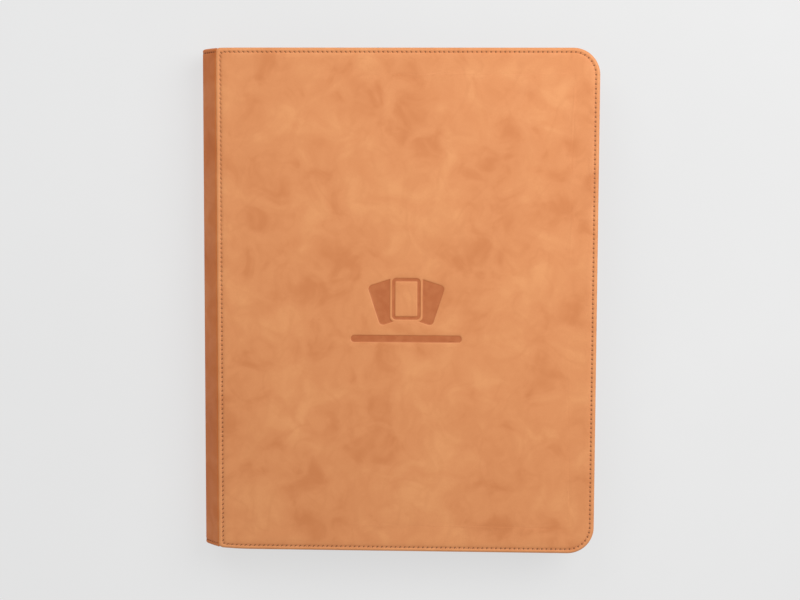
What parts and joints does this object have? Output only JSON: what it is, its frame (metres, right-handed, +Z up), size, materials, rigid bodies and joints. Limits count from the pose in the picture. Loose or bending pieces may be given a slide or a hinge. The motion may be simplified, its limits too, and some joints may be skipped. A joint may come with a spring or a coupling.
{
  "type": "trading card binder",
  "caption": "Zip-round trading card binder with padded leatherette covers, a rounded spine that opens flat, and a fan of pocket pages.",
  "frame": {"origin": "centre of the bounding box's bottom face, on the surface that the closed binder lies on", "axes": "+Z up out of the front cover, +X from the spine to the fore-edge, +Y along the spine to the top of the cover"},
  "size_m": [0.275, 0.35, 0.038],
  "materials": {
    "cover_leather": "satin mottled leatherette",
    "spine_leather": "satin mottled leatherette, darker",
    "pull_leather": "satin leatherette",
    "foam": "closed-cell foam",
    "board": "grey board",
    "lining": "brushed microfibre",
    "thread": "twisted polyester thread",
    "page_binding": "matt polypropylene",
    "page_film": "clear film over a black sheet",
    "zip_tape": "woven twill tape",
    "zip_coil": "nylon coil",
    "zip_metal": "antique brass plating"
  },
  "bodies": {
    "back_cover": {"back_cover_skin": "cover_leather", "back_cover_foam": "foam", "back_cover_board": "board", "back_cover_lining": "lining", "back_cover_stitching": "thread", "back_hinge_strip": "lining", "back_zip_tape": "zip_tape", "back_zip_coil": "zip_coil", "back_zip_top_stop": "zip_metal", "zip_end_stop": "zip_metal"},
    "spine": {"spine_skin": "spine_leather", "spine_stitching": "thread", "spine_padding": "foam", "spine_board": "board", "spine_lining": "lining", "page_binding": "page_binding", "binding_rivets": "zip_metal"},
    "front_cover": {"front_cover_skin": "cover_leather", "front_cover_foam": "foam", "front_cover_board": "board", "front_cover_lining": "lining", "front_cover_stitching": "thread", "front_hinge_strip": "lining", "front_zip_tape": "zip_tape", "front_zip_coil": "zip_coil", "front_zip_top_stop": "zip_metal"},
    "zip_slider": {"zip_slider": "zip_metal"},
    "zip_pull": {"zip_pull_ring": "zip_metal", "zip_pull_tab": "pull_leather"},
    "page_01": {"page_01": "page_film"},
    "page_02": {"page_02": "page_film"},
    "page_03": {"page_03": "page_film"},
    "page_04": {"page_04": "page_film"},
    "page_05": {"page_05": "page_film"},
    "page_06": {"page_06": "page_film"},
    "page_07": {"page_07": "page_film"},
    "page_08": {"page_08": "page_film"},
    "page_09": {"page_09": "page_film"},
    "page_10": {"page_10": "page_film"},
    "page_11": {"page_11": "page_film"},
    "page_12": {"page_12": "page_film"},
    "page_13": {"page_13": "page_film"},
    "page_14": {"page_14": "page_film"},
    "page_15": {"page_15": "page_film"},
    "page_16": {"page_16": "page_film"},
    "page_17": {"page_17": "page_film"},
    "page_18": {"page_18": "page_film"},
    "page_19": {"page_19": "page_film"},
    "page_20": {"page_20": "page_film"}
  },
  "joints": [
    {"name": "spine_hinge", "type": "hinge", "parent": "back_cover", "child": "spine", "pos_m": [-0.1255, 0, 0.0005], "axis": [0, -1, 0], "range_deg": [0, 90], "deforming": ["spine_skin", "spine_stitching", "spine_padding", "back_hinge_strip"]},
    {"name": "front_cover_hinge", "type": "hinge", "parent": "spine", "child": "front_cover", "pos_m": [-0.1255, 0, 0.0375], "axis": [0, -1, 0], "range_deg": [0, 90], "deforming": ["front_hinge_strip"]},
    {"name": "zip_slide", "type": "slide", "parent": "back_cover", "child": "zip_slider", "axis": [1, 0, 0], "range_m": [0, 0.222], "deforming": ["front_zip_coil", "back_zip_coil"]},
    {"name": "zip_pull_hinge", "type": "hinge", "parent": "zip_slider", "child": "zip_pull", "pos_m": [-0.1095, -0.1732, 0.019], "axis": [0, 0, -1], "range_deg": [0, 150]},
    {"name": "page_01_hinge", "type": "hinge", "parent": "spine", "child": "page_01", "pos_m": [-0.1191, 0, 0.00665], "axis": [0, -1, 0], "range_deg": [-74.01, 0]},
    {"name": "page_02_hinge", "type": "hinge", "parent": "spine", "child": "page_02", "pos_m": [-0.1191, 0, 0.00795], "axis": [0, -1, 0], "range_deg": [-66.22, 0]},
    {"name": "page_03_hinge", "type": "hinge", "parent": "spine", "child": "page_03", "pos_m": [-0.1191, 0, 0.00925], "axis": [0, -1, 0], "range_deg": [-58.43, 0]},
    {"name": "page_04_hinge", "type": "hinge", "parent": "spine", "child": "page_04", "pos_m": [-0.1191, 0, 0.01055], "axis": [0, -1, 0], "range_deg": [-50.64, 0]},
    {"name": "page_05_hinge", "type": "hinge", "parent": "spine", "child": "page_05", "pos_m": [-0.1191, 0, 0.01185], "axis": [0, -1, 0], "range_deg": [-42.85, 0]},
    {"name": "page_06_hinge", "type": "hinge", "parent": "spine", "child": "page_06", "pos_m": [-0.1191, 0, 0.01315], "axis": [0, -1, 0], "range_deg": [-35.06, 0]},
    {"name": "page_07_hinge", "type": "hinge", "parent": "spine", "child": "page_07", "pos_m": [-0.1191, 0, 0.01445], "axis": [0, -1, 0], "range_deg": [-27.27, 0]},
    {"name": "page_08_hinge", "type": "hinge", "parent": "spine", "child": "page_08", "pos_m": [-0.1191, 0, 0.01575], "axis": [0, -1, 0], "range_deg": [-19.48, 0]},
    {"name": "page_09_hinge", "type": "hinge", "parent": "spine", "child": "page_09", "pos_m": [-0.1191, 0, 0.01705], "axis": [0, -1, 0], "range_deg": [-11.69, 0]},
    {"name": "page_10_hinge", "type": "hinge", "parent": "spine", "child": "page_10", "pos_m": [-0.1191, 0, 0.01835], "axis": [0, -1, 0], "range_deg": [-3.9, 0]},
    {"name": "page_11_hinge", "type": "hinge", "parent": "spine", "child": "page_11", "pos_m": [-0.1191, 0, 0.01965], "axis": [0, -1, 0], "range_deg": [0, 3.9]},
    {"name": "page_12_hinge", "type": "hinge", "parent": "spine", "child": "page_12", "pos_m": [-0.1191, 0, 0.02095], "axis": [0, -1, 0], "range_deg": [0, 11.69]},
    {"name": "page_13_hinge", "type": "hinge", "parent": "spine", "child": "page_13", "pos_m": [-0.1191, 0, 0.02225], "axis": [0, -1, 0], "range_deg": [0, 19.48]},
    {"name": "page_14_hinge", "type": "hinge", "parent": "spine", "child": "page_14", "pos_m": [-0.1191, 0, 0.02355], "axis": [0, -1, 0], "range_deg": [0, 27.27]},
    {"name": "page_15_hinge", "type": "hinge", "parent": "spine", "child": "page_15", "pos_m": [-0.1191, 0, 0.02485], "axis": [0, -1, 0], "range_deg": [0, 35.06]},
    {"name": "page_16_hinge", "type": "hinge", "parent": "spine", "child": "page_16", "pos_m": [-0.1191, 0, 0.02615], "axis": [0, -1, 0], "range_deg": [0, 42.85]},
    {"name": "page_17_hinge", "type": "hinge", "parent": "spine", "child": "page_17", "pos_m": [-0.1191, 0, 0.02745], "axis": [0, -1, 0], "range_deg": [0, 50.64]},
    {"name": "page_18_hinge", "type": "hinge", "parent": "spine", "child": "page_18", "pos_m": [-0.1191, 0, 0.02875], "axis": [0, -1, 0], "range_deg": [0, 58.43]},
    {"name": "page_19_hinge", "type": "hinge", "parent": "spine", "child": "page_19", "pos_m": [-0.1191, 0, 0.03005], "axis": [0, -1, 0], "range_deg": [0, 66.22]},
    {"name": "page_20_hinge", "type": "hinge", "parent": "spine", "child": "page_20", "pos_m": [-0.1191, 0, 0.03135], "axis": [0, -1, 0], "range_deg": [0, 74.01]}
  ],
  "couplings": [
    {"joint": "front_cover_hinge", "follows": "spine_hinge", "ratio": 1},
    {"joint": "page_01_hinge", "follows": "spine_hinge", "ratio": -0.82222},
    {"joint": "page_02_hinge", "follows": "spine_hinge", "ratio": -0.73567},
    {"joint": "page_03_hinge", "follows": "spine_hinge", "ratio": -0.64912},
    {"joint": "page_04_hinge", "follows": "spine_hinge", "ratio": -0.56257},
    {"joint": "page_05_hinge", "follows": "spine_hinge", "ratio": -0.47602},
    {"joint": "page_06_hinge", "follows": "spine_hinge", "ratio": -0.38947},
    {"joint": "page_07_hinge", "follows": "spine_hinge", "ratio": -0.30292},
    {"joint": "page_08_hinge", "follows": "spine_hinge", "ratio": -0.21637},
    {"joint": "page_09_hinge", "follows": "spine_hinge", "ratio": -0.12982},
    {"joint": "page_10_hinge", "follows": "spine_hinge", "ratio": -0.043275},
    {"joint": "page_11_hinge", "follows": "spine_hinge", "ratio": 0.043275},
    {"joint": "page_12_hinge", "follows": "spine_hinge", "ratio": 0.12982},
    {"joint": "page_13_hinge", "follows": "spine_hinge", "ratio": 0.21637},
    {"joint": "page_14_hinge", "follows": "spine_hinge", "ratio": 0.30292},
    {"joint": "page_15_hinge", "follows": "spine_hinge", "ratio": 0.38947},
    {"joint": "page_16_hinge", "follows": "spine_hinge", "ratio": 0.47602},
    {"joint": "page_17_hinge", "follows": "spine_hinge", "ratio": 0.56257},
    {"joint": "page_18_hinge", "follows": "spine_hinge", "ratio": 0.64912},
    {"joint": "page_19_hinge", "follows": "spine_hinge", "ratio": 0.73567},
    {"joint": "page_20_hinge", "follows": "spine_hinge", "ratio": 0.82222}
  ]
}
